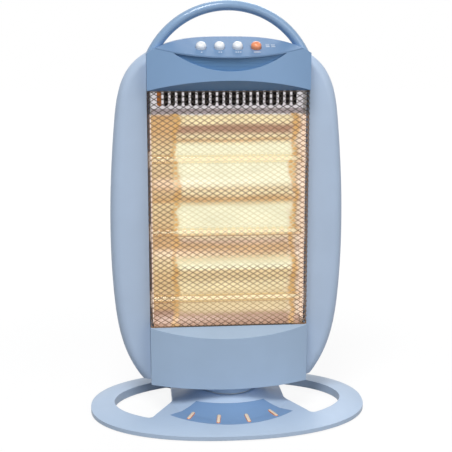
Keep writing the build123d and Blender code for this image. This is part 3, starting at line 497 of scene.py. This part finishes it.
def guard_steel():
    """Dark wire with a painted warm glow where it stands before the glowing troughs."""
    look, tint = steel_finish("guard_steel", srgb(66, 60, 56), srgb(84, 77, 72),
                              roughness=(0.36, 0.52), edge=WIRE_EDGE)
    z = look.axis("Z")
    left, right = GUARD_GLOW_X
    before = look.window(look.axis("X"), (left - GUARD_GLOW_SOFT, left), (right, right + GUARD_GLOW_SOFT))
    # Painted glow: the troughs' light on the wire's front, below the slots
    wire_glow = look.blend(before, srgb(*BANDS["dim"]), sheet_ramp(look, z, GUARD_BANDS))
    at_front = look.math("LESS_THAN", look.axis("Y"), GUARD_FRONT_Y + GUARD_BEND_R)
    under_slots = look.math("LESS_THAN", z, SLOT_ROW_Z)
    return look.set(Base_Color=tint, Emission_Color=wire_glow,
                    Emission_Strength=look.product(at_front, under_slots))


def glow_frame(look, x, z):
    """The deeper edges at both ends of the bright fields, below the slots."""
    wide = GLOW_FRAME_W
    left = look.window(x, (GLOW_LEFT_X - wide, GLOW_LEFT_X - wide / 2),
                       (GLOW_LEFT_X, GLOW_LEFT_X + wide / 3), top=GLOW_FRAME_SHARE)
    right = look.window(x, (GLOW_RIGHT_X - wide / 3, GLOW_RIGHT_X),
                        (GLOW_RIGHT_X + wide / 2, GLOW_RIGHT_X + wide), top=GLOW_FRAME_SHARE)
    return look.product(look.math("ADD", left, right), look.math("LESS_THAN", z, STRIP_Z[0]))


def reflector_steel():
    """Bright sheet whose troughs are filled with the light of the tubes."""
    look = Finish("reflector_steel")
    z = look.axis("Z")
    waves = look.noise(TROUGH_WAVES, detail=2.0, stretch=(0.25, 1.0, 1.0))
    height = look.math("ADD", z, look.spread(waves, -GLOW_WAVER, GLOW_WAVER))
    end_waves = look.noise(END_WAVES, detail=2.0)
    x = look.math("ADD", look.axis("X"), look.spread(end_waves, -END_WAVER, END_WAVER))
    ends = look.blend(look.math("GREATER_THAN", x, 0.0), sheet_ramp(look, height, LEFT_END_BANDS),
                      sheet_ramp(look, height, RIGHT_END_BANDS))
    between = look.window(x, (GLOW_LEFT_X - GLOW_SOFT, GLOW_LEFT_X + GLOW_SOFT),
                          (GLOW_RIGHT_X - GLOW_SOFT, GLOW_RIGHT_X + GLOW_SOFT / 2))
    glow = look.blend(between, ends, sheet_ramp(look, height, TROUGH_BANDS))
    glow = look.blend(glow_frame(look, x, z), glow, srgb(*GLOW_FRAME_COLOUR))
    glow = look.blend(look.within(z, *STRIP_Z), glow, srgb(*BANDS["dusk"]))
    patches = look.spread(look.noise(REFLECTOR_PATCHES, stretch=(0.6, 1.0, 1.6)), *PATCH_LIGHT)
    lines = look.noise(REFLECTOR_LINES, stretch=(0.06, 1.0, 1.0))
    look.bump(lines, strength=0.10)
    return look.set(Base_Color=srgb(90, 86, 84), Metallic=1.0, Roughness=look.spread(lines, 0.24, 0.36),
                    Emission_Color=glow, Emission_Strength=patches)


# Tubes, insulation and feet

def quartz():
    """Clear tube with faint drawing lines along it."""
    look = Finish("quartz")
    look.bump(look.noise(QUARTZ_LINES, detail=2.0, stretch=(0.1, 1.0, 1.0)), strength=0.05)
    return look.set(Base_Color=srgb(255, 250, 240), Roughness=look.gloss(QUARTZ_GLOSS, 0.02, 0.06),
                    Transmission_Weight=1.0, IOR=1.458)


def carbon_ribbon():
    """The element, white-hot along its glowing length and dimmer at its leads."""
    look = Finish("carbon_ribbon")
    outer, inner = RIBBON_FADE
    hot = look.window(look.axis("X"), (GLOW_LEFT_X - outer, GLOW_LEFT_X + inner),
                      (GLOW_RIGHT_X - inner, GLOW_RIGHT_X + outer))
    weave = look.noise(RIBBON_WEAVE, detail=2.0, stretch=(0.3, 1.0, 1.0))
    heat = look.product(look.spread(hot, LEAD_HEAT, 1.0, 0.0, 1.0), look.spread(weave, *WEAVE_HEAT))
    look.bump(weave, strength=0.2)
    return look.set(Base_Color=srgb(150, 138, 122), Roughness=0.5, Emission_Color=srgb(255, 242, 204),
                    Emission_Strength=heat)


def ceramic_white():
    """Unglazed ceramic with fine specks."""
    look = Finish("ceramic_white")
    specks = look.cloudy(CERAMIC_SPECKS, srgb(214, 208, 198), srgb(236, 232, 224), detail=4.0)
    look.bump(look.noise(CERAMIC_GRAIN), strength=0.2, distance=DEEP_RELIEF, edge=CERAMIC_EDGE)
    return look.set(Base_Color=specks, Roughness=look.gloss(CERAMIC_GLOSS, 0.55, 0.75))


def wire_sleeve():
    """Braided glass sleeve: fine diagonal lines."""
    look = Finish("wire_sleeve")
    total = look.math("ADD", look.axis("X"), look.math("ADD", look.axis("Y"), look.axis("Z")))
    braid = look.math("SINE", look.product(total, BRAID_SCALE))
    look.bump(braid, strength=0.5, distance=DEEP_RELIEF)
    tint = look.blend(look.spread(braid, 0.0, 1.0, -1.0, 1.0), srgb(188, 182, 168), srgb(222, 216, 202))
    return look.set(Base_Color=tint, Roughness=0.7)


def foot_rubber():
    """Matt black rubber."""
    look = Finish("foot_rubber")
    look.bump(look.noise(RUBBER_GRAIN), strength=0.3, distance=DEEP_RELIEF, edge=RUBBER_EDGE)
    tint = look.cloudy(RUBBER_CLOUD, srgb(34, 34, 35), srgb(50, 50, 52))
    return look.set(Base_Color=tint, Roughness=look.gloss(RUBBER_GLOSS, 0.6, 0.8))


def finishes():
    """One material for each of the record's slots."""
    return {
        "base_plastic": plastic("base_plastic", srgb(188, 208, 232), roughness=0.36),
        "inlay_plastic": plastic("inlay_plastic", srgb(127, 160, 201), roughness=0.34),
        "copper_mark": glossy("copper_mark", srgb(222, 128, 74), roughness=0.28),
        "dark_plastic": plastic("dark_plastic", srgb(58, 62, 68), roughness=0.5),
        "foot_rubber": foot_rubber(),
        "plated_steel": plated_steel(),
        "acetal": plastic("acetal", srgb(236, 236, 230), roughness=0.32),
        "side_plastic": plastic("side_plastic", srgb(186, 205, 229), roughness=0.42),
        "hood_plastic": hood_plastic(),
        "cover_plastic": plastic("cover_plastic", srgb(172, 195, 221), roughness=0.42),
        "handle_plastic": plastic("handle_plastic", srgb(134, 166, 201), roughness=0.26, coat=0.5),
        "white_button": glossy("white_button", srgb(242, 245, 248)),
        "orange_button": glossy("orange_button", srgb(247, 150, 98)),
        "white_print": glossy("white_print", srgb(232, 238, 244), roughness=0.3),
        "guard_steel": guard_steel(),
        "reflector_steel": reflector_steel(),
        "sheet_steel": sheet_steel(),
        "quartz": quartz(),
        "carbon_ribbon": carbon_ribbon(),
        "ceramic_white": ceramic_white(),
        "wire_sleeve": wire_sleeve(),
    }


def dress_nodes(looks):
    """Gives every CAD node the finish of its slot."""
    for part in frame["record"]["subparts"]:
        mesh = frame["nodes"][part["node"]].data
        mesh.materials.clear()
        mesh.materials.append(looks[part["material_slot"]])


# Pieces

def mesh_object(name, points, faces, materials, indices=None):
    """A new object from points and faces; indices give each face its material."""
    mesh = bpy.data.meshes.new(name)
    mesh.from_pydata(points, [], faces)
    for material in materials:
        mesh.materials.append(material)
    if indices:
        mesh.polygons.foreach_set("material_index", indices)
    mesh.validate()
    mesh.update()
    made = bpy.data.objects.new(name, mesh)
    bpy.context.scene.collection.objects.link(made)
    return made


def guard_plan(along):
    """Point and outward direction on the guard's bent plan, at a distance from its left back edge."""
    side = -1
    if along > GUARD_LENGTH / 2:
        along = GUARD_LENGTH - along
        side = 1
    if along <= GUARD_FLAT:
        return Vector((side * GUARD_SIDE_X, GUARD_FRONT_Y + GUARD_DEPTH - along, 0)), Vector((side, 0, 0))
    corner_x = GUARD_SIDE_X - GUARD_BEND_R
    if along <= GUARD_FLAT + GUARD_BEND:
        turn = (along - GUARD_FLAT) / GUARD_BEND_R
        out = Vector((side * math.cos(turn), -math.sin(turn), 0))
        return Vector((side * corner_x, GUARD_FRONT_Y + GUARD_BEND_R, 0)) + GUARD_BEND_R * out, out
    x = side * (corner_x - (along - GUARD_FLAT - GUARD_BEND))
    return Vector((x, GUARD_FRONT_Y, 0)), Vector((0, -1, 0))


def strand(points, faces, start, end, out, twist):
    """Adds one flat strand of the mesh, a twisted bar between two knots."""
    run = (end - start).normalized()
    level = run.cross(out).normalized()
    wide = level * math.cos(twist) + out * math.sin(twist)
    thick = out * math.cos(twist) - level * math.sin(twist)
    first = len(points)
    for at in (start - run * STRAND_OVERLAP, end + run * STRAND_OVERLAP):
        for across, deep in ((-1, -1), (1, -1), (1, 1), (-1, 1)):
            points.append(at + wide * (across * STRAND_W / 2) + thick * (deep * STRAND_T / 2))
    sides = [(0, 1, 2, 3), (7, 6, 5, 4), (0, 4, 5, 1), (1, 5, 6, 2), (2, 6, 7, 3), (3, 7, 4, 0)]
    faces.extend(tuple(first + corner for corner in side) for side in sides)


def guard_mesh(material):
    """Expanded metal: a lattice of short twisted strands, wrapped round the guard's plan."""
    columns = 2 * GUARD_COLS
    rows = 2 * GUARD_ROWS
    heights = [GUARD_LOW_Z + (GUARD_HIGH_Z - GUARD_LOW_Z) * row / rows for row in range(rows + 1)]
    knots = []
    for column in range(columns + 1):
        spot, out = guard_plan(GUARD_LENGTH * column / columns)
        knots.append([(Vector((spot.x, spot.y, height)), out) for height in heights])
    points, faces = [], []
    for column in range(columns):
        for row in range(column % 2, rows + 1, 2):
            start, out = knots[column][row]
            for step in (-1, 1):
                if 0 <= row + step <= rows:
                    end, out_end = knots[column + 1][row + step]
                    strand(points, faces, start, end, (out + out_end).normalized(), step * STRAND_TWIST)
    return mesh_object("guard_mesh", points, faces, [material])


def guard_hem(material):
    """The flat strips that hold the mesh along its top and bottom edges."""
    points, faces = [], []
    for low, high in ((GUARD_LOW_Z, GUARD_LOW_Z + HEM_H), (GUARD_HIGH_Z - HEM_H, GUARD_HIGH_Z)):
        first = len(points)
        section = ((1, low), (1, high), (-1, high), (-1, low))
        count = len(section)
        for step in range(HEM_STEPS + 1):
            spot, out = guard_plan(GUARD_LENGTH * step / HEM_STEPS)
            for side, height in section:
                points.append(Vector((spot.x, spot.y, height)) + out * (side * HEM_T / 2))
        for step in range(HEM_STEPS):
            here = first + count * step
            for corner in range(count):
                after = (corner + 1) % count
                faces.append((here + corner, here + after, here + count + after, here + count + corner))
    return mesh_object("guard_hem", points, faces, [material])


def stadium(half_length, half_width, steps):
    """Outline of a slot shape, counter-clockwise."""
    straight = half_length - half_width
    outline = []
    for end in (1, -1):
        for step in range(steps + 1):
            turn = math.pi * (step / steps - 0.5)
            along = straight + half_width * math.cos(turn)
            outline.append((end * along, end * half_width * math.sin(turn)))
    return outline


def skin_height(spot):
    """Height of the inlay's top under a point, found on the CAD mesh."""
    inlay = frame["nodes"]["base_inlay"]
    hit, place, *rest = inlay.ray_cast(Vector((spot.x, spot.y, OVER_BASE_Z)), Vector((0, 0, -1)))
    return place.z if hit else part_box("base_inlay")[1].z


def mark_place(mark):
    """Middle of a mark and its directions along and across."""
    angle = math.radians((mark - (MARK_COUNT - 1) / 2) * MARK_STEP)
    middle = Vector((math.sin(angle), -math.cos(angle), 0)) * MARK_R + Vector((0, INLAY_Y, 0))
    lean = MARK_LEAN * angle
    along = Vector((math.sin(lean), -math.cos(lean), 0))
    across = Vector((math.cos(lean), math.sin(lean), 0))
    return middle, along, across


def position_domes(rim, painted_highlight):
    """The four raised marks: a sloping coloured rim round a pale dome, its pale colour a painted
    highlight.
    """
    points, faces, indices = [], [], []
    for mark in range(MARK_COUNT):
        middle, along, across = mark_place(mark)
        first = len(points)
        for inset, rise in MARK_RINGS:
            outline = stadium(MARK_HALF_L - inset, MARK_HALF_W - inset, MARK_ARC_STEPS)
            for u, v in outline:
                spot = middle + along * u + across * v
                points.append(Vector((spot.x, spot.y, skin_height(spot) + rise)))
        count = len(outline)
        for ring in range(len(MARK_RINGS) - 1):
            here = first + ring * count
            for step in range(count):
                after = (step + 1) % count
                faces.append((here + step, here + after, here + count + after, here + count + step))
                indices.append(0 if ring < MARK_RIM_RINGS else 1)
        faces.append(tuple(first + (len(MARK_RINGS) - 1) * count + step for step in range(count)))
        indices.append(1)
    made = mesh_object("position_domes", points, faces, [rim, painted_highlight], indices)
    for face in made.data.polygons:
        face.use_smooth = True
    return made


# Stage

def aim(thing, at, target):
    """Puts a camera or lamp somewhere and turns it to its target."""
    thing.location = at
    thing.rotation_euler = (Vector(target) - Vector(at)).to_track_quat("-Z", "Y").to_euler()


def area_light(name, at, size, watts):
    lamp = bpy.data.lights.new(name, "AREA")
    lamp.shape = "DISK"
    lamp.size = size
    lamp.energy = watts
    made = bpy.data.objects.new(name, lamp)
    bpy.context.scene.collection.objects.link(made)
    aim(made, at, LIGHT_TARGET)


def seen_directly(tree):
    """1 for rays that show a background: from the camera, off gloss and through glass."""
    path = tree.nodes.new("ShaderNodeLightPath")
    total = path.outputs["Is Camera Ray"]
    for name in ("Is Glossy Ray", "Is Transmission Ray"):
        add = tree.nodes.new("ShaderNodeMath")
        add.operation = "MAXIMUM"
        tree.links.new(total, add.inputs[0])
        tree.links.new(path.outputs[name], add.inputs[1])
        total = add.outputs[0]
    return total


def white_world():
    """A dim sky that shows as plain white."""
    world = bpy.data.worlds.new("studio")
    bpy.context.scene.world = world
    world.use_nodes = True
    tree = world.node_tree
    light = tree.nodes["Background"]
    light.inputs["Color"].default_value = SKY
    light.inputs["Strength"].default_value = AMBIENT
    white = tree.nodes.new("ShaderNodeBackground")
    white.inputs["Color"].default_value = WHITE
    mix = tree.nodes.new("ShaderNodeMixShader")
    tree.links.new(seen_directly(tree), mix.inputs[0])
    tree.links.new(light.outputs[0], mix.inputs[1])
    tree.links.new(white.outputs[0], mix.inputs[2])
    tree.links.new(mix.outputs[0], tree.nodes["World Output"].inputs["Surface"])


def floor_material():
    """Floor that keeps the heater's shadow and shows as white further out."""
    look = Finish("floor")
    seen = seen_directly(look.tree)
    speckle = look.cloudy(FLOOR_CLOUD, *tints(FLOOR_TINT, FLOOR_TINTS))
    look.set(Base_Color=look.blend(seen, FLOOR_BOUNCE, speckle), Roughness=0.8)
    glow = look.node("ShaderNodeEmission")
    glow.inputs["Strength"].default_value = FLOOR_GLOW
    away = look.length(look.axis("X"), look.axis("Y"))
    share = look.product(seen, look.spread(away, FLOOR_GLOW_SHARE, 1.0, FLOOR_NEAR, FLOOR_FAR))
    mix = look.node("ShaderNodeMixShader")
    look.link(share, mix.inputs[0])
    look.link(look.shader.outputs[0], mix.inputs[1])
    look.link(glow.outputs[0], mix.inputs[2])
    look.link(mix.outputs[0], look.tree.nodes["Material Output"].inputs["Surface"])
    return look.material


def build_stage():
    half = FLOOR_HALF
    corners = [(-half, -half, 0), (half, -half, 0), (half, half, 0), (-half, half, 0)]
    mesh_object("floor", corners, [(0, 1, 2, 3)], [floor_material()])
    white_world()
    area_light("key", **KEY)
    area_light("fill", **FILL)
    area_light("rim", **RIM)


def build_camera():
    data = bpy.data.cameras.new("camera")
    data.lens = CAMERA_LENS
    data.sensor_width = CAMERA_SENSOR
    data.sensor_fit = "HORIZONTAL"
    camera = bpy.data.objects.new("camera", data)
    bpy.context.scene.collection.objects.link(camera)
    aim(camera, CAMERA_AT, CAMERA_TARGET)
    bpy.context.scene.camera = camera


def build_pieces(looks):
    """The fine guard and the domed marks, in place of their plainer CAD nodes."""
    mesh = guard_mesh(looks["guard_steel"])
    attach(mesh, "heater")
    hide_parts("guard")
    hem = guard_hem(looks["guard_steel"])
    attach(hem, "heater")
    # The marks' pale tops are a painted highlight
    domes = position_domes(looks["copper_mark"], glossy("mark_painted_highlight", srgb(250, 226, 196), roughness=0.3))
    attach(domes, "base")
    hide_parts("position_marks")


bpy.context.scene.view_settings.view_transform = "Standard"
build_camera()
build_stage()
all_looks = finishes()
dress_nodes(all_looks)
build_pieces(all_looks)
